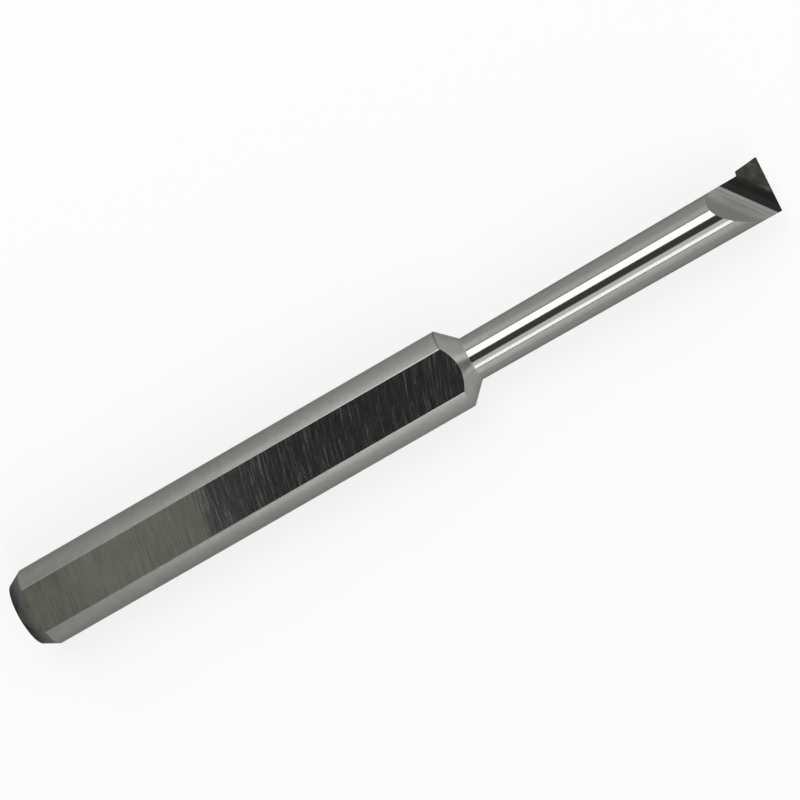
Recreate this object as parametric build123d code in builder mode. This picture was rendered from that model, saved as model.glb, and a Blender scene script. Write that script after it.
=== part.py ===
"""Solid carbide boring bar: a round shank with a clamping flat, a slim neck and a ground cutting head.

The bar lies on the round of its shank, with the flat and the rake face up.
+X runs along the bar from the rear end to the cutting head, +Y points to the side
that the cutting tip stands out on, and +Z points up.
The origin is on the surface that the bar lies on, under the middle of its length.
"""

import os
from math import cos, radians, sin, tan

from build123d import *

# ---- driving dimensions, millimetres and degrees ----

# shank
shank_diameter = 6.35
bar_length = 64.2
shank_length = 37.36  # rear end to the start of the shoulder cone
flat_height = 2.59  # from the shank's axis up to the clamping flat
end_chamfer_length = 1.2
end_chamfer_depth = 0.64

# shoulder and neck
shoulder_angle = 45.0
shoulder_fillet = 0.4
neck_root_radius = 1.755  # where it leaves the cone
neck_head_radius = 1.94  # under the tip, at the full length

# cutting head, seen from above
tip_reach = 2.435  # from the bar's axis out to the cutting tip
end_edge_angle = 3.4  # the end cutting edge trails the tip by this much
side_edge_angle = 5.6  # the side edge falls away behind the tip
head_length = 1.84  # tip to the wall behind the head
head_wall_lean = 10.0
nose_radius = 0.1

# clearances under the cutting edges
side_clearance_angle = 10.0
side_relief_radius = 2.0
end_clearance_angle = 8.0
end_land_height = 0.9
end_heel_angle = 25.0

# rake face and the slope behind it
rake_foot = 2.3  # tip to where the slope's plane would meet the rake face, on the axis
rake_skew_angle = 54.0  # between the foot of the slope and the bar's axis
slope_angle = 47.0
slope_blend_radius = 0.8

# ---- derived places ----

shank_radius = shank_diameter / 2
rear_x = -bar_length / 2
tip_x = bar_length / 2
axis_z = shank_radius
flat_z = axis_z + flat_height
neck_start = shank_length + (shank_radius - neck_root_radius) / tan(radians(shoulder_angle))
reach = 2 * shank_diameter  # a length past any side of the bar, for cutters


def end_face_plane(clearance, drop):
    """The plane of a front face that leans back under the end cutting edge.

    It passes through the land below the tip at the given drop under the rake face.
    """
    lean = radians(clearance)
    trail = radians(end_edge_angle)
    normal = (cos(lean) * cos(trail), -cos(lean) * sin(trail), -sin(lean))
    setback = drop * tan(radians(end_clearance_angle))
    return Plane(origin=(tip_x - setback, tip_reach, axis_z - drop), z_dir=normal)


with BuildPart() as boring_bar:
    # shank, shoulder cone and neck, turned about one axis; the neck swells slightly towards the head
    with BuildSketch(Plane(origin=(rear_x, 0, axis_z), x_dir=(1, 0, 0), z_dir=(0, -1, 0))):
        with BuildLine():
            Polyline(
                (0, 0),
                (0, shank_radius - end_chamfer_depth),
                (end_chamfer_length, shank_radius),
                (shank_length, shank_radius),
                (neck_start, neck_root_radius),
                (bar_length, neck_head_radius),
                (bar_length, 0),
                close=True,
            )
        profile = make_face()
        neck_corner = profile.vertices().filter_by_position(Axis.X, neck_start - 0.1, neck_start + 0.1)
        fillet(neck_corner, radius=shoulder_fillet)
    revolve(axis=Axis((0, 0, axis_z), (1, 0, 0)))

    # clamping flat along the whole shank
    split(bisect_by=Plane.XY.offset(flat_z), keep=Keep.BOTTOM)

    # head: a round eccentric to the neck, which leaves clearance under the side edge
    wall_lean = radians(head_wall_lean)
    side_lean = radians(side_edge_angle)
    clearance = radians(side_clearance_angle)
    head_wall = Plane(
        origin=(tip_x - head_length, tip_reach - head_length * tan(side_lean), axis_z),
        x_dir=(sin(wall_lean), cos(wall_lean), 0),
        z_dir=(cos(wall_lean), -sin(wall_lean), 0),
    )
    with BuildSketch(head_wall):
        with Locations((-side_relief_radius * cos(clearance), side_relief_radius * sin(clearance))):
            Circle(side_relief_radius)
    extrude(amount=2 * head_length, dir=(cos(side_lean), sin(side_lean), 0))

    # rake face on the axis, and the slope that runs back up from it
    skew = radians(rake_skew_angle)
    foot = Plane(
        origin=(tip_x - rake_foot, 0, axis_z),
        x_dir=(sin(skew), cos(skew), 0),
        z_dir=(cos(skew), -sin(skew), 0),
    )
    with BuildSketch(foot):
        with BuildLine():
            Polyline(
                (-reach * cos(radians(slope_angle)), reach * sin(radians(slope_angle))),
                (0, 0),
                (reach, 0),
                (reach, reach * sin(radians(slope_angle))),
                close=True,
            )
        cutter = make_face()
        foot_corner = cutter.vertices().sort_by_distance((0, 0, 0))[0]
        fillet(foot_corner, radius=slope_blend_radius)
    extrude(amount=reach, both=True, mode=Mode.SUBTRACT)

    # land under the end cutting edge
    split(bisect_by=end_face_plane(end_clearance_angle, 0), keep=Keep.BOTTOM)

    # nose: of the three edges that meet at the tip, the upright one is rounded
    tip = (tip_x, tip_reach, axis_z)
    nose_edge = boring_bar.edges().sort_by_distance(tip)[:3].sort_by(Axis.Z)[0]
    fillet(nose_edge, radius=nose_radius)

    # heel: the front face leans back further below the land
    split(bisect_by=end_face_plane(end_heel_angle, end_land_height), keep=Keep.BOTTOM)

boring_bar.part.label = "boring_bar"

os.makedirs("parts", exist_ok=True)
export_step(boring_bar.part, "parts/boring_bar.step")
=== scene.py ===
"""Boring bar of solid carbide: its ground finishes, a pale table and soft studio light.

+X runs along the bar to the cutting head, +Y points to the side of the cutting tip and +Z points
up, out of the clamping flat and the rake face. Lengths are in metres, and in the finishes in
millimetres, because that is what their patterns are measured in.
"""

from math import cos, pi, radians, sin, sqrt, tan

import bmesh
import bpy
from mathutils import Matrix, Vector


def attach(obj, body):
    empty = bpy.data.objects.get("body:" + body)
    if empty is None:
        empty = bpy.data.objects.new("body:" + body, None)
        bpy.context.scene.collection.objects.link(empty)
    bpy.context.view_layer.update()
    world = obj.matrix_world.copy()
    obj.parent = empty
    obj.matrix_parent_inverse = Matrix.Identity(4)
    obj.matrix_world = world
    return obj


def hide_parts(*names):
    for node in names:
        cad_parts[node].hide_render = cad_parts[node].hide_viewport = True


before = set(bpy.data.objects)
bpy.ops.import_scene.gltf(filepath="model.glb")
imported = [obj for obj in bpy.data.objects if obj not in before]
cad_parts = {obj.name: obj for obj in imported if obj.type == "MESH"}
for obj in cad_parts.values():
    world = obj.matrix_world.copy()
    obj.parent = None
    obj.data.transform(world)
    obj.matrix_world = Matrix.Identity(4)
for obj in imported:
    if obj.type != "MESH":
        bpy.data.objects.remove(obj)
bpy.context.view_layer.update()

MM = 0.001

# ---- the bar, as its drawing gives it ----

BAR_LENGTH = 64.2 * MM
REAR_X = -BAR_LENGTH / 2
TIP_X = BAR_LENGTH / 2

SHANK_RADIUS = 3.175 * MM
AXIS_Z = SHANK_RADIUS
SHANK_LENGTH = 37.36 * MM  # rear end to the start of the shoulder cone
FLAT_HEIGHT = 2.59 * MM  # from the axis up to the clamping flat
FLAT_HALF_WIDTH = sqrt(SHANK_RADIUS ** 2 - FLAT_HEIGHT ** 2)
END_CHAMFER_LENGTH = 1.2 * MM
END_CHAMFER_DEPTH = 0.64 * MM

SHOULDER_ANGLE = radians(45)
SHOULDER_FILLET = 0.15 * MM
NECK_ROOT_RADIUS = 1.755 * MM  # where it leaves the cone
NECK_HEAD_RADIUS = 1.94 * MM  # under the tip, at the full length
NECK_START = SHANK_LENGTH + (SHANK_RADIUS - NECK_ROOT_RADIUS) / tan(SHOULDER_ANGLE)

TIP_REACH = 2.435 * MM  # from the axis out to the cutting tip
HEAD_LENGTH = 1.84 * MM  # tip to the wall behind the head
HEAD_WALL_LEAN = radians(10)
SIDE_EDGE_ANGLE = radians(5.6)  # the side edge falls away behind the tip
SIDE_CLEARANCE = radians(10)
SIDE_RELIEF_RADIUS = 2.0 * MM
NOSE_RADIUS = 0.1 * MM
END_EDGE_ANGLE = radians(3.4)  # the end cutting edge trails the tip by this much
END_CLEARANCE = radians(8)
END_LAND_HEIGHT = 0.9 * MM
END_HEEL = radians(25)
RAKE_FOOT = 2.3 * MM  # tip to where the slope's plane would meet the rake face, on the axis
RAKE_SKEW = radians(54)  # between the foot of the slope and the axis
SLOPE_ANGLE = radians(47)
SLOPE_BLEND = 0.8 * MM

# directions in the rake face: along the foot of the slope, and square to it towards the tip
FOOT_ALONG = Vector((cos(RAKE_SKEW), -sin(RAKE_SKEW), 0))
FOOT_ACROSS = Vector((sin(RAKE_SKEW), cos(RAKE_SKEW), 0))

# ---- broken edges, and how finely the rounds are cut ----

EDGE_BREAK = 0.04 * MM  # on the turned corners of the shank
FLAT_EDGE_BREAK = 0.016 * MM  # depth of the break along both sides of the clamping flat
TIP_SIDE_BREAK_TILT = radians(17.7)  # from level, on the side of the tip
NEAR_SIDE_BREAK_TILT = radians(21.0)  # and on the other side
SATIN_END = 0.22 * MM  # the slope's finish runs on this far past its foot
HEAD_SIDE_MARGIN = 0.1 * MM  # the head's finish starts this far behind its wall

ROUND_STEPS = 192
FILLET_STEPS = 8
BREAK_STEPS = 3
BLEND_STEPS = 16
NOSE_STEPS = 6

SHARP_EDGE = radians(16)  # an edge that turns more than this is shaded sharp
LEVEL = 0.9999  # the least upward part of a level face's normal
SLOPING = 0.6  # the least upward part of a normal on the slope or on its blend
SQUARE = 0.004  # the most that a normal leans along a line that it is square to
SAME_WAY = 0.999  # the least product of two normals that point the same way
WELD = 1e-7
TOUCHING = 1e-8


# ---- making meshes ----

def new_object(name, bm):
    """The finished bmesh as an object at the origin."""
    mesh = bpy.data.meshes.new(name)
    bm.to_mesh(mesh)
    bm.free()
    piece = bpy.data.objects.new(name, mesh)
    bpy.context.scene.collection.objects.link(piece)
    return piece


def wire(bm, points):
    """A chain of edges through the points."""
    verts = [bm.verts.new(p) for p in points]
    for a, b in zip(verts, verts[1:]):
        bm.edges.new((a, b))
    return verts


def round_corners(bm, verts, offset, steps):
    """Rounds the corners of an outline, from an offset before each to as far behind it."""
    bmesh.ops.bevel(
        bm, geom=verts, offset=offset, segments=steps, profile=0.5, material=-1, affect="VERTICES"
    )


def push_out(bm, travel):
    """Extrudes the only face into a closed solid."""
    far = bmesh.ops.extrude_face_region(bm, geom=bm.faces[:], use_keep_orig=True)
    moved = [v for v in far["geom"] if isinstance(v, bmesh.types.BMVert)]
    bmesh.ops.translate(bm, verts=moved, vec=travel)
    bmesh.ops.recalc_face_normals(bm, faces=bm.faces[:])


def cut(bm, point, outward):
    """Cuts away what lies beyond a plane and closes the cut with one face."""
    geom = bm.verts[:] + bm.edges[:] + bm.faces[:]
    result = bmesh.ops.bisect_plane(
        bm, geom=geom, dist=TOUCHING, plane_co=point, plane_no=outward, clear_outer=True
    )
    rim = [e for e in result["geom_cut"] if isinstance(e, bmesh.types.BMEdge)]
    bmesh.ops.edgeloop_fill(bm, edges=rim)


def turned_blank():
    """Shank, shoulder and neck turned round the axis, with the clamping flat cut."""
    bm = bmesh.new()
    outline = [
        (0, 0),
        (0, SHANK_RADIUS - END_CHAMFER_DEPTH),
        (END_CHAMFER_LENGTH, SHANK_RADIUS),
        (SHANK_LENGTH, SHANK_RADIUS),
        (NECK_START, NECK_ROOT_RADIUS),
        (BAR_LENGTH, NECK_HEAD_RADIUS),
        (BAR_LENGTH, 0),
    ]
    verts = wire(bm, [(REAR_X + along, 0, AXIS_Z + radius) for along, radius in outline])
    shank_corners = verts[1:4]
    neck_root = verts[4]
    round_corners(bm, [neck_root], SHOULDER_FILLET * tan(SHOULDER_ANGLE / 2), FILLET_STEPS)
    round_corners(bm, shank_corners, EDGE_BREAK, BREAK_STEPS)
    bmesh.ops.spin(
        bm, geom=bm.verts[:] + bm.edges[:], cent=(0, 0, AXIS_Z), axis=(1, 0, 0), angle=2 * pi,
        steps=ROUND_STEPS, use_merge=True,
    )
    bmesh.ops.remove_doubles(bm, verts=bm.verts[:], dist=WELD)
    bmesh.ops.dissolve_degenerate(bm, edges=bm.edges[:], dist=TOUCHING)
    bmesh.ops.recalc_face_normals(bm, faces=bm.faces[:])
    cut(bm, (0, 0, AXIS_Z + FLAT_HEIGHT), (0, 0, 1))
    break_flat_edges(bm)
    return new_object("bar", bm)


def break_flat_edges(bm):
    """Takes the keen edge off both long sides of the clamping flat."""
    for side, tilt in ((1, TIP_SIDE_BREAK_TILT), (-1, NEAR_SIDE_BREAK_TILT)):
        corner = Vector((0, side * FLAT_HALF_WIDTH, AXIS_Z + FLAT_HEIGHT))
        outward = Vector((0, side * sin(tilt), cos(tilt)))
        cut(bm, corner - FLAT_EDGE_BREAK * outward, outward)


def head_boss():
    """The round that carries the tip, eccentric to the neck, so that it clears a bore."""
    bm = bmesh.new()
    wall = Matrix((
        (sin(HEAD_WALL_LEAN), 0, cos(HEAD_WALL_LEAN)),
        (cos(HEAD_WALL_LEAN), 0, -sin(HEAD_WALL_LEAN)),
        (0, 1, 0),
    )).to_4x4()
    wall.translation = (TIP_X - HEAD_LENGTH, TIP_REACH - HEAD_LENGTH * tan(SIDE_EDGE_ANGLE), AXIS_Z)
    centre = Matrix.Translation(
        (-SIDE_RELIEF_RADIUS * cos(SIDE_CLEARANCE), SIDE_RELIEF_RADIUS * sin(SIDE_CLEARANCE), 0)
    )
    bmesh.ops.create_circle(
        bm, cap_ends=True, radius=SIDE_RELIEF_RADIUS, segments=ROUND_STEPS, matrix=wall @ centre
    )
    push_out(bm, 2 * HEAD_LENGTH * Vector((cos(SIDE_EDGE_ANGLE), sin(SIDE_EDGE_ANGLE), 0)))
    return new_object("head_boss", bm)


def rake_cutter():
    """What the wheel takes off over the rake face and the slope behind it."""
    bm = bmesh.new()
    reach = 12 * MM  # past the tip, the top and both sides of the bar
    foot = Vector((TIP_X - RAKE_FOOT, 0, AXIS_Z)) - reach * FOOT_ALONG
    climb = Vector((0, 0, reach * sin(SLOPE_ANGLE)))
    corners = [
        foot,
        foot + reach * FOOT_ACROSS,
        foot + reach * FOOT_ACROSS + climb,
        foot - reach * cos(SLOPE_ANGLE) * FOOT_ACROSS + climb,
    ]
    verts = [bm.verts.new(corner) for corner in corners]
    bm.faces.new(verts)
    round_corners(bm, verts[:1], SLOPE_BLEND * tan(SLOPE_ANGLE / 2), BLEND_STEPS)
    push_out(bm, 2 * reach * FOOT_ALONG)
    return new_object("rake_cutter", bm)


def combine(piece, other, operation):
    """Joins the other solid to the piece, or cuts it out, and removes the other."""
    boolean = piece.modifiers.new(operation.lower(), "BOOLEAN")
    boolean.operation = operation
    boolean.solver = "EXACT"
    boolean.object = other
    graph = bpy.context.evaluated_depsgraph_get()
    mesh = bpy.data.meshes.new_from_object(piece.evaluated_get(graph))
    piece.modifiers.clear()
    piece.data = mesh
    bpy.data.objects.remove(other)


def end_face(clearance, drop):
    """A point and the outward normal of a front face that leans back under the cutting edge.

    The face passes through the land at the given drop under the rake face.
    """
    normal = Vector((
        cos(clearance) * cos(END_EDGE_ANGLE), -cos(clearance) * sin(END_EDGE_ANGLE), -sin(clearance)
    ))
    point = Vector((TIP_X - drop * tan(END_CLEARANCE), TIP_REACH, AXIS_Z - drop))
    return point, normal


def round_nose(bm):
    """Rounds the upright edge under the tip, where the end land meets the side relief."""
    tip = Vector((TIP_X, TIP_REACH, AXIS_Z))
    land = end_face(END_CLEARANCE, 0)[1]
    farthest = 2 * MM
    lowest = AXIS_Z - 1.6 * MM
    highest = AXIS_Z - 0.001 * MM
    upright = []
    for edge in bm.edges:
        on_land = [face.normal.dot(land) > SAME_WAY for face in edge.link_faces]
        middle = (edge.verts[0].co + edge.verts[1].co) / 2
        near_tip = (middle - tip).length < farthest and middle.y > 0
        if on_land.count(True) == 1 and near_tip and lowest < middle.z < highest:
            upright.append(edge)
    bmesh.ops.bevel(
        bm, geom=upright, offset=NOSE_RADIUS, segments=NOSE_STEPS, profile=0.5, material=-1,
        affect="EDGES",
    )


def finish_of(face):
    """The name of the finish that a face of the bar has, from where it is and which way it points.

    The edge breaks along the flat share the shoulder's finish: they catch real light, and its
    brighter colour adds a painted highlight on them.
    """
    middle = face.calc_center_median()
    from_rear = middle.x - REAR_X
    past_foot = (middle - Vector((TIP_X - RAKE_FOOT, 0, 0))).dot(FOOT_ACROSS)
    level = face.normal.z > LEVEL
    if middle.z > AXIS_Z + FLAT_HEIGHT - FLAT_EDGE_BREAK:
        # edge breaks take the shoulder's brighter colour, a painted highlight along the flat's edges
        return "flat" if level else "shoulder"
    if from_rear < END_CHAMFER_LENGTH - EDGE_BREAK / 2:
        return "rear_end"
    if from_rear < SHANK_LENGTH:
        return "shank"
    if from_rear < NECK_START:
        return "shoulder"
    if level and abs(middle.z - AXIS_Z) < EDGE_BREAK:
        return "rake"
    faces_foot = abs(face.normal.dot(FOOT_ALONG)) < SQUARE and face.normal.z > SLOPING
    if faces_foot and middle.z >= AXIS_Z - WELD and past_foot < SLOPE_BLEND:
        return "slope" if past_foot < SATIN_END else "rake"
    if from_rear > BAR_LENGTH - HEAD_LENGTH - HEAD_SIDE_MARGIN:
        return "head_side"
    return "neck"


def ground_bar(finishes):
    """The whole bar: blank, head and every ground face, each with its finish."""
    bar = turned_blank()
    combine(bar, head_boss(), "UNION")
    combine(bar, rake_cutter(), "DIFFERENCE")
    bm = bmesh.new()
    bm.from_mesh(bar.data)
    cut(bm, *end_face(END_CLEARANCE, 0))
    round_nose(bm)
    cut(bm, *end_face(END_HEEL, END_LAND_HEIGHT))
    bmesh.ops.dissolve_degenerate(bm, edges=bm.edges[:], dist=WELD)
    bmesh.ops.recalc_face_normals(bm, faces=bm.faces[:])
    names = list(finishes)
    for face in bm.faces:
        face.smooth = True
        face.material_index = names.index(finish_of(face))
    for edge in bm.edges:
        edge.smooth = len(edge.link_faces) == 2 and edge.calc_face_angle() < SHARP_EDGE
    bar.data.materials.clear()
    for make_finish in finishes.values():
        bar.data.materials.append(make_finish())
    bm.to_mesh(bar.data)
    bm.free()
    return bar


# ---- shader expressions ----

class Value:
    """A shader socket that takes part in Python sums."""

    def __init__(self, tree, socket):
        self.tree = tree
        self.socket = socket

    def math(self, operation, *others):
        """This value through a Math node."""
        return self.tree.make("ShaderNodeMath", {"operation": operation}, self, *others)

    def __add__(self, other):
        return self.math("ADD", other)

    def __sub__(self, other):
        return self.math("SUBTRACT", other)

    def __rsub__(self, other):
        return (self * -1).math("ADD", other)

    def __mul__(self, other):
        return self.math("MULTIPLY", other)

    def __truediv__(self, other):
        return self.math("DIVIDE", other)

    __radd__ = __add__
    __rmul__ = __mul__


class Tree:
    """A node tree and the one method that adds nodes to it."""

    def __init__(self, owner):
        owner.use_nodes = True
        self.nodes = owner.node_tree.nodes
        self.links = owner.node_tree.links
        self.nodes.clear()

    def make(self, kind, settings=None, *values, out=0, **named):
        """Adds a node, sets it up, feeds its sockets and gives back one of its outputs."""
        node = self.nodes.new(kind)
        for key, value in (settings or {}).items():
            setattr(node, key, value)
        places = {index: value for index, value in enumerate(values) if value is not None}
        for key, value in {**places, **named}.items():
            socket = node.inputs[key.replace("_", " ") if isinstance(key, str) else key]
            if isinstance(value, Value):
                self.links.new(value.socket, socket)
            else:
                socket.default_value = value
        return Value(self, node.outputs[out]) if node.outputs else None

    def split(self, vector):
        """The three numbers of a vector."""
        return [self.make("ShaderNodeSeparateXYZ", {}, vector, out=axis) for axis in range(3)]

    def vector(self, x, y, z):
        """A vector of three numbers."""
        return self.make("ShaderNodeCombineXYZ", {}, x, y, z)

    def place(self):
        """Millimetres from the rear end, aside from the axis and up from it."""
        here = self.make("ShaderNodeTexCoord", out="Object")
        scaled = self.make("ShaderNodeVectorMath", {"operation": "SCALE"}, here, Scale=1 / MM)
        x, y, z = self.split(scaled)
        return x - REAR_X / MM, y, z - AXIS_Z / MM

    def step(self, value, low, high):
        """Runs smoothly from 0 at low to 1 at high, which may be the smaller number."""
        settings = {"interpolation_type": "SMOOTHSTEP"}
        return self.make("ShaderNodeMapRange", settings, value, low, high, 0.0, 1.0)

    def band(self, value, start, full, full_to, end):
        """Rises from 0 at start to 1 at full, and falls from full_to back to 0 at end."""
        return self.step(value, start, full) * self.step(value, end, full_to)

    def noise(self, x, y, z, scale, detail=2.0, roughness=0.5):
        """Noise from 0 to 1 at a place, with scale waves to the millimetre.

        Where z is only a number, it picks one of many sheets of noise.
        """
        place = self.vector(x, y, z)
        return self.make(
            "ShaderNodeTexNoise", {}, place, Scale=scale, Detail=detail, Roughness=roughness
        )

    def blend(self, amount, first, second):
        """A colour between two colours, which go to the node's sockets 6 and 7."""
        return self.make(
            "ShaderNodeMix", {"data_type": "RGBA"},
            amount, None, None, None, None, None, first, second, out=2,
        )


def between(amount, low, high):
    """A value that runs from low to high as the amount runs from 0 to 1."""
    return low + amount * (high - low)


# ---- finishes ----

CARBIDE_BRIGHT = (0.330, 0.330, 0.315, 1)
CARBIDE_LIGHT = (0.262, 0.262, 0.246, 1)
CARBIDE = (0.226, 0.226, 0.211, 1)
CARBIDE_DARK = (0.186, 0.186, 0.172, 1)
REAR_GREY = (0.165, 0.160, 0.165, 1)
NEAR_BLACK = (0.045, 0.045, 0.045, 1)
GRAZING_TINT = (0.5, 0.5, 0.5, 1)


def carbide(name, tone, gloss, height, relief):
    """Bare carbide, from a function each for its colour, roughness and height.

    Each function takes the tree and the place in millimetres. The relief, in metres, is how high
    a height of 1 stands.
    """
    material = bpy.data.materials.new(name)
    tree = Tree(material)
    place = tree.place()
    bump = tree.make("ShaderNodeBump", {}, Distance=relief, Height=height(tree, *place))
    surface = tree.make(
        "ShaderNodeBsdfPrincipled", {},
        Base_Color=tone(tree, *place), Metallic=1.0, Roughness=gloss(tree, *place),
        Specular_Tint=GRAZING_TINT, Normal=bump,
    )
    tree.make("ShaderNodeOutputMaterial", {}, surface)
    return material


def wheel_rings(tree, along, aside, up):
    """Fine rings round the bar, left by the grinding wheel."""
    fine = tree.noise(along, 0.0, 0.0, scale=11.0, detail=3.0, roughness=0.7)
    broad = tree.noise(along, aside * 0.15, up * 0.15, scale=2.0)
    return fine + broad * 0.4


def soft_rings(tree, along, aside, up):
    """Soft rings in the colour of what was ground round."""
    return tree.noise(along, aside * 0.1, up * 0.1, scale=5.0)


def ring_tone(tree, along, aside, up):
    """Carbide with a slight mottle and faint rings."""
    mottle = tree.noise(along, aside, up, scale=0.7, detail=3.0)
    rings = soft_rings(tree, along, aside, up)
    return tree.blend(mottle * 0.6 + rings * 0.6 - 0.1, CARBIDE_DARK, CARBIDE_LIGHT)


# shank: a painted sheen that brightens it towards the shoulder, and a painted dark reflection in a
# thin line round the tip side of its front edge
SHANK_ROUGHNESS = (0.30, 0.42)
# where the painted sheen rises along the shank, and how much of it there is
SHANK_SHEEN_RISES = (16.0, 35.0)
SHEEN_SHARE = 0.3
FRONT_EDGE = SHANK_LENGTH / MM
# where the painted dark reflection lies round the front edge, and how dark it is
DARK_REFLECTION_ALONG = (FRONT_EDGE - 0.12, FRONT_EDGE - 0.06)
DARK_REFLECTION_ASIDE = (1.5, 1.9)
DARK_REFLECTION_SHARE = 0.65


def shank_tone(tree, along, aside, up):
    # painted sheen: the shank's colour brightens towards the shoulder in place of the lamps'
    # reflection
    sheen = tree.step(along, *SHANK_SHEEN_RISES)
    ground = tree.blend(sheen * SHEEN_SHARE, ring_tone(tree, along, aside, up), CARBIDE_BRIGHT)
    # painted dark reflection: a thin near-black line round the tip side of the front edge
    dark_reflection = tree.step(along, *DARK_REFLECTION_ALONG) * tree.step(aside, *DARK_REFLECTION_ASIDE)
    return tree.blend(dark_reflection * DARK_REFLECTION_SHARE, ground, NEAR_BLACK)


def shank_gloss(tree, along, aside, up):
    marks = tree.noise(along, aside * 0.3, up * 0.3, scale=1.3, detail=3.0)
    return between(marks, *SHANK_ROUGHNESS)


def shank_finish():
    return carbide("ground_shank", shank_tone, shank_gloss, wheel_rings, relief=0.0007 * MM)


# shoulder: brighter than the shank, and the edge breaks along the flat share that brighter colour as
# a painted highlight
SHOULDER_ROUGHNESS = (0.16, 0.30)


def shoulder_tone(tree, along, aside, up):
    return tree.blend(soft_rings(tree, along, aside, up), CARBIDE, CARBIDE_BRIGHT)


def shoulder_gloss(tree, along, aside, up):
    marks = tree.noise(along, aside * 0.5, up * 0.5, scale=2.5, detail=3.0)
    return between(marks, *SHOULDER_ROUGHNESS)


def shoulder_finish():
    return carbide("ground_shoulder", shoulder_tone, shoulder_gloss, wheel_rings, relief=0.0007 * MM)


# neck: polished, with fine rings that show in its streaks of light
NECK_LIGHT = (0.238, 0.238, 0.224, 1)
NECK_DARK = (0.214, 0.214, 0.201, 1)
NECK_ROUGHNESS = (0.07, 0.10)
NECK_RING_SPACING = 0.21


def neck_rings(tree, along, aside, up):
    """From 0 to 1 over fine, nearly even rings round the neck."""
    wave = (along * (2 * pi / NECK_RING_SPACING)).math("SINE")
    uneven = tree.noise(along, aside * 0.2, up * 0.2, scale=7.0, detail=3.0, roughness=0.75)
    return tree.step(wave * 0.14 + uneven, 0.2, 0.8)


def neck_tone(tree, along, aside, up):
    return tree.blend(neck_rings(tree, along, aside, up), NECK_DARK, NECK_LIGHT)


def neck_gloss(tree, along, aside, up):
    return between(neck_rings(tree, along, aside, up), *NECK_ROUGHNESS)


def neck_finish():
    return carbide("polished_neck", neck_tone, neck_gloss, wheel_rings, relief=0.00015 * MM)


# rear end: darker, darkest at its rear edge and lighter towards the ground shank
REAR_ROUGHNESS = (0.36, 0.52)
REAR_LIGHTENS = (0.0, 1.5)


def rear_tone(tree, along, aside, up):
    grain = tree.noise(along, aside, up, scale=9.0, detail=3.0, roughness=0.7)
    lightened = tree.step(along, *REAR_LIGHTENS) + (grain - 0.5) * 0.5
    return tree.blend(lightened, NEAR_BLACK, REAR_GREY)


def rear_gloss(tree, along, aside, up):
    return between(tree.noise(along, aside, up, scale=4.0, detail=3.0), *REAR_ROUGHNESS)


def furnace_grain(tree, along, aside, up):
    return tree.noise(along, aside, up, scale=14.0, detail=3.0, roughness=0.65)


def rear_finish():
    return carbide("dark_rear_end", rear_tone, rear_gloss, furnace_grain, relief=0.002 * MM)


# clamping flat: a matte rear part and a bright front part, both with long scratches
MATTE_LIGHT = (0.290, 0.295, 0.254, 1)
MATTE_DARK = (0.160, 0.164, 0.136, 1)
FRONT_LIGHT = (0.280, 0.286, 0.284, 1)
FRONT_DARK = (0.170, 0.176, 0.174, 1)
MATTE_LENGTH = 16.2  # on the axis, from the rear end
FLAT_WHEEL_CENTRE = (60.0, -9.0)  # what the wheel swung about, from the rear end and aside
FRONT_RIM = (1.7, 1.8)  # the front part darkens towards its sides between these places
RIM_SHARE = 0.45
REAR_DARKENING = (1.3, 0.1)  # the darkening towards the rear end begins and is full at these places
REAR_DARK_SHARE = 0.6


def wheel_swing(tree, along, aside):
    """Millimetres from the point that the wheel swung about."""
    here = tree.vector(along, aside, 0.0)
    centre = (*FLAT_WHEEL_CENTRE, 0.0)
    return tree.make("ShaderNodeVectorMath", {"operation": "DISTANCE"}, here, centre, out="Value")


def flat_streaks(tree, swing, aside):
    """Fine and broken scratches that follow the wheel's swing."""
    fine = tree.noise(swing, aside * 0.03, 0.0, scale=5.5, detail=4.0, roughness=0.85)
    broken = tree.noise(swing, aside * 0.12, 4.0, scale=4.0, detail=4.0, roughness=0.8)
    return fine, broken


def front_part(tree, swing, broken):
    """1 on the bright front part of the flat, 0 on its matte rear part."""
    border = sqrt((FLAT_WHEEL_CENTRE[0] - MATTE_LENGTH) ** 2 + FLAT_WHEEL_CENTRE[1] ** 2)
    return tree.step(swing + (broken - 0.5) * 3.0, border + 0.8, border - 1.0)


def flat_tone(tree, along, aside, up):
    """Each part in its own grey, lightest about 8 mm from the rear end and darker again at the rear
    end itself.
    """
    swing = wheel_swing(tree, along, aside)
    fine, broken = flat_streaks(tree, swing, aside)
    grain = tree.noise(along, aside, 0.0, scale=7.0, detail=3.0, roughness=0.8)
    soft = tree.noise(along, aside, 7.0, scale=0.35)
    rise = tree.step(along, 2.5, 8.0) * 0.4 - tree.step(along, 8.5, 11.5) * 0.15
    streak = fine * 2.2 + broken * 0.8 + grain * 1.3 + soft * 0.8 - 2.15 + rise
    matte = tree.blend(streak, MATTE_DARK, MATTE_LIGHT)
    bright = tree.blend(streak, FRONT_DARK, FRONT_LIGHT)
    front = front_part(tree, swing, broken)
    ground = tree.blend(front, matte, bright)
    rim = tree.step(aside.math("ABSOLUTE"), *FRONT_RIM) * front
    rimmed = tree.blend(rim * RIM_SHARE, ground, NEAR_BLACK)
    rear_dark = tree.step(along + (grain - 0.5) * 1.2, *REAR_DARKENING)
    return tree.blend(rear_dark * REAR_DARK_SHARE, rimmed, NEAR_BLACK)


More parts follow.
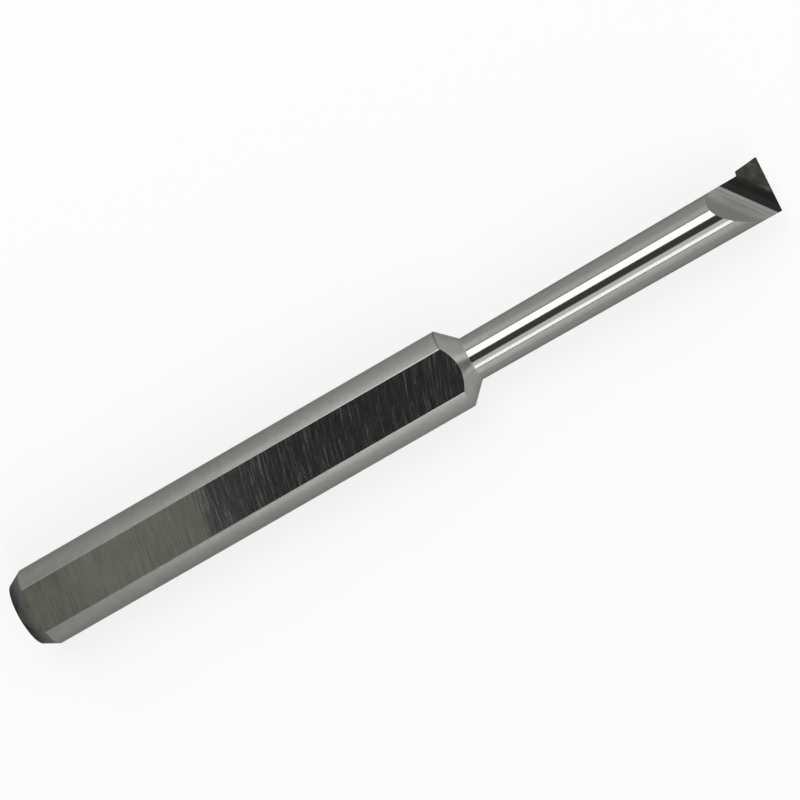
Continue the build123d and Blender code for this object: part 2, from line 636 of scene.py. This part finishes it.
def flat_gloss(tree, along, aside, up):
    """The front part is smoother, apart from its scratches and specks."""
    swing = wheel_swing(tree, along, aside)
    fine, broken = flat_streaks(tree, swing, aside)
    front = front_part(tree, swing, broken)
    speck = tree.noise(swing, aside * 0.5, 8.0, scale=6.0, detail=3.0, roughness=0.8)
    scratches = (
        tree.step(fine, 0.49, 0.64) * 0.1 + tree.step(broken, 0.46, 0.68) * 0.06
        + tree.step(speck, 0.56, 0.68) * 0.06
    )
    matte = 0.27 + fine * 0.04
    polish = 0.2 - scratches
    return matte - front * polish


def flat_height(tree, along, aside, up):
    fine, broken = flat_streaks(tree, wheel_swing(tree, along, aside), aside)
    return fine + broken * 0.5


def flat_finish():
    return carbide("ground_flat", flat_tone, flat_gloss, flat_height, relief=0.0012 * MM)


# slope behind the rake face: satin, with painted shade at its top and in the bend at its foot
SLOPE_LIGHT = (0.298, 0.298, 0.274, 1)
SLOPE_DARK = (0.230, 0.230, 0.210, 1)
SLOPE_TOP_SHADE = (0.176, 0.178, 0.163, 1)
SLOPE_BEND_SHADE = (0.170, 0.170, 0.158, 1)
SLOPE_ROUGHNESS = (0.20, 0.34)
TOP_DARKENS = (-0.5, -1.1)  # measured in front of the foot, so behind it
BEND_DARKENS = (-0.2, -0.08, -0.02, 0.12)


def from_foot(along, aside):
    """Millimetres in front of the foot of the slope, and along it."""
    ahead = along - (BAR_LENGTH - RAKE_FOOT) / MM
    across = ahead * FOOT_ACROSS.x + aside * FOOT_ACROSS.y
    beside = ahead * FOOT_ALONG.x + aside * FOOT_ALONG.y
    return across, beside


def head_grain(tree, along, aside, up):
    """Straight grain that follows the foot of the slope."""
    across, beside = from_foot(along, aside)
    return tree.noise(across, beside * 0.08, up, scale=9.0, detail=4.0, roughness=0.7)


def slope_tone(tree, along, aside, up):
    across, beside = from_foot(along, aside)
    grain = head_grain(tree, along, aside, up)
    soft = tree.noise(across, beside * 0.3, up, scale=1.5)
    ground = tree.blend(grain + soft * 0.6 - 0.3, SLOPE_DARK, SLOPE_LIGHT)
    # painted shade in the bend at the foot of the slope, then at its top
    lower = tree.blend(tree.band(across, *BEND_DARKENS), ground, SLOPE_BEND_SHADE)
    return tree.blend(tree.step(across, *TOP_DARKENS), lower, SLOPE_TOP_SHADE)


def slope_gloss(tree, along, aside, up):
    return between(head_grain(tree, along, aside, up), *SLOPE_ROUGHNESS)


def slope_finish():
    return carbide("ground_slope", slope_tone, slope_gloss, head_grain, relief=0.0006 * MM)


# rake face: bluish beside the slope, then a bright band, then dull towards the tip
RAKE_BLUE = (0.200, 0.215, 0.250, 1)
BLUE_SHARE = 0.5
BLUE_ENDS = (0.7, 0.9)  # in front of the foot
DULL_STARTS = (1.1, 1.6)


def rake_patches(tree, along, aside):
    """How far in front of the slope's foot, and soft diagonal patches from 0 to 1."""
    across, beside = from_foot(along, aside)
    patch = tree.noise(across, beside * 0.35, 2.0, scale=2.2, detail=3.0, roughness=0.6)
    return across, patch


def beside_slope(tree, across, patch):
    """1 on the part beside the slope and 0 beyond, with a border that wanders."""
    return 1 - tree.step(across + (patch - 0.5) * 0.25, *BLUE_ENDS)


def rake_tone(tree, along, aside, up):
    across, patch = rake_patches(tree, along, aside)
    grain = head_grain(tree, along, aside, up)
    plain = tree.blend(grain * 0.6 + patch * 0.7 - 0.2, CARBIDE_DARK, CARBIDE_LIGHT)
    return tree.blend(beside_slope(tree, across, patch) * BLUE_SHARE, plain, RAKE_BLUE)


def rake_gloss(tree, along, aside, up):
    across, patch = rake_patches(tree, along, aside)
    tip_part = tree.step(across + (patch - 0.5) * 0.5, *DULL_STARTS)
    dullness = 0.112 + tree.step(patch, 0.38, 0.62) * 0.065
    return 0.075 + tip_part * dullness + beside_slope(tree, across, patch) * 0.055


def rake_finish():
    return carbide("honed_rake", rake_tone, rake_gloss, head_grain, relief=0.0004 * MM)


# sides of the head
SIDE_ROUGHNESS = (0.18, 0.28)


def side_gloss(tree, along, aside, up):
    return between(head_grain(tree, along, aside, up), *SIDE_ROUGHNESS)


def side_finish():
    return carbide("ground_head_side", ring_tone, side_gloss, head_grain, relief=0.0008 * MM)


# in the order of the bar's material slots
FINISHES = {
    "shank": shank_finish,
    "shoulder": shoulder_finish,
    "neck": neck_finish,
    "rear_end": rear_finish,
    "flat": flat_finish,
    "slope": slope_finish,
    "rake": rake_finish,
    "head_side": side_finish,
}

bar = ground_bar(FINISHES)
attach(bar, "root")
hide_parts("boring_bar")


# ---- table ----

TABLE_RADIUS = 3.0
TABLE_SIDES = 96
TABLE_COLOUR = (0.88, 0.88, 0.88, 1)
TABLE_GLOW = 0.76  # share of its own white that the camera and mirrors see in it
WHITE = (1, 1, 1, 1)


def table():
    """A pale table top that fills the view and keeps the bar's shadow."""
    bm = bmesh.new()
    bmesh.ops.create_circle(bm, cap_ends=True, radius=TABLE_RADIUS, segments=TABLE_SIDES)
    top = new_object("table_top", bm)
    material = bpy.data.materials.new("pale_table")
    tree = Tree(material)
    paper = tree.make("ShaderNodeBsdfDiffuse", {}, Color=TABLE_COLOUR)
    bright = tree.make("ShaderNodeEmission", {}, Color=WHITE, Strength=1.0)
    rays = [
        tree.make("ShaderNodeLightPath", out=kind)
        for kind in ("Is Camera Ray", "Is Glossy Ray", "Is Transmission Ray")
    ]
    seen = (rays[0] + rays[1] + rays[2]) * TABLE_GLOW
    surface = tree.make("ShaderNodeMixShader", {}, seen, paper, bright)
    tree.make("ShaderNodeOutputMaterial", {}, surface)
    top.data.materials.append(material)


# ---- light ----

# strength of the plain room, and what its bright parts add
ROOM = 0.98
WALLS = 0.42
WINDOWS = 2.2
JAMBS = 0.8
NEAR_SIDE = 0.2

# what its dark parts take off, the rear as a strength and the others as a share
REAR_LOSS = 0.6
FRAME_LOSS = 0.6
DOORWAY_LOSS = 0.78

# strength of the gap overhead, and what is added where the neck mirrors it
GAP = 0.07
GAP_OVER_NECK = 0.09

LAMP_HEIGHT = 0.3
LAMP_LENGTH = 0.12
LAMP_ALONG = 10 * MM  # in front of the middle of the bar


def studio_world():
    """A pale room with brighter walls on both long sides of the bar and a dark gap overhead.

    Its parts lie by the direction from the bar, x, y and z, or by the slopes of that direction
    from straight up, along and across the bar.
    """
    world = bpy.data.worlds.new("studio")
    bpy.context.scene.world = world
    tree = Tree(world)
    x, y, z = tree.split(tree.make("ShaderNodeTexCoord", out="Generated"))
    height = z.math("MAXIMUM", 0.05)
    along = x / height
    across = y / height

    walls = tree.band(z, 0.0, 0.55, 0.55, 0.8) * tree.step(x, -0.4, -0.12)
    windows = tree.band(x, -0.25, -0.14, -0.1, -0.03) * tree.band(z, -0.1, 0.17, 0.4, 0.6)
    jambs = tree.step(x, 0.86, 0.95) * tree.step(z, 0.4, 0.15)
    near_side = tree.step(y, -0.5, -0.9) * tree.step(x, -0.22, -0.08)
    to_rear = tree.step(x, -0.03, -0.42)
    room = ROOM + walls * WALLS + windows * WINDOWS + jambs * JAMBS + near_side * NEAR_SIDE
    room = room - to_rear * REAR_LOSS

    # dark frames beside the lamps, overhead
    tip_side_frame = tree.band(across, 0.95, 0.98, 1.10, 1.16)
    near_side_frame = tree.band(across, -1.52, -1.46, -1.28, -1.25)
    frames = (tip_side_frame + near_side_frame) * tree.step(along.math("ABSOLUTE"), 0.25, 0.2)
    room = room * (1 - frames * FRAME_LOSS)

    # a dark doorway in front of the head, which widens outwards
    beside_door = (y + x * 0.08).math("ABSOLUTE") - x * 0.2
    doorway = tree.step(beside_door, 0.05, -0.03) * tree.step(x, 0.1, 0.3)
    room = room * (1 - doorway * DOORWAY_LOSS)

    # the gap overhead, less dark where the neck mirrors it
    gap = (
        tree.band(along, -0.28, -0.175, 0.19, 0.27) * tree.band(across, -0.36, -0.32, 0.20, 0.22)
        * tree.step(z, 0.3, 0.5)
    )
    above_neck = tree.band(along, -0.08, -0.05, 0.015, 0.04)
    strength = room * (1 - gap) + gap * (GAP + above_neck * GAP_OVER_NECK)

    light = tree.make("ShaderNodeBackground", {}, Color=WHITE, Strength=strength)
    tree.make("ShaderNodeOutputWorld", {}, light)


def soft_box(name, from_angle, to_angle, brightness):
    """A level panel lamp over the bar, between two angles in degrees from upright towards +Y.

    The panel is lit evenly and the camera doesn't see it.
    """
    near, far = (LAMP_HEIGHT * tan(radians(angle)) for angle in (from_angle, to_angle))
    lamp = bpy.data.lights.new(name, "AREA")
    lamp.shape = "RECTANGLE"
    lamp.size = LAMP_LENGTH
    lamp.size_y = far - near
    lamp.energy = brightness * pi * lamp.size * lamp.size_y
    panel = bpy.data.objects.new(name, lamp)
    panel.location = (LAMP_ALONG, (near + far) / 2, LAMP_HEIGHT)
    panel.visible_camera = False
    bpy.context.scene.collection.objects.link(panel)


# ---- camera ----

SENSOR_WIDTH = 36
FOCAL_LENGTH = 120.18
CAMERA_PLACE = Vector((22.56, 3.11, 200.21)) * MM
CAMERA_TURN = (radians(-3.972), radians(5.060), radians(-30.138))


def camera():
    """Looks down on the bar, which runs up to the right."""
    lens = bpy.data.cameras.new("camera")
    lens.sensor_width = SENSOR_WIDTH
    lens.lens = FOCAL_LENGTH
    eye = bpy.data.objects.new("camera", lens)
    eye.rotation_euler = CAMERA_TURN
    eye.location = CAMERA_PLACE
    bpy.context.scene.collection.objects.link(eye)
    bpy.context.scene.camera = eye


table()
studio_world()
soft_box("tip_side_lamp", from_angle=13.5, to_angle=44.5, brightness=3.7)
soft_box("near_lamp", from_angle=-36.5, to_angle=-17, brightness=0.92)
soft_box("far_lamp", from_angle=-52.2, to_angle=-36.5, brightness=2.8)
camera()
bpy.context.scene.view_settings.view_transform = "Standard"
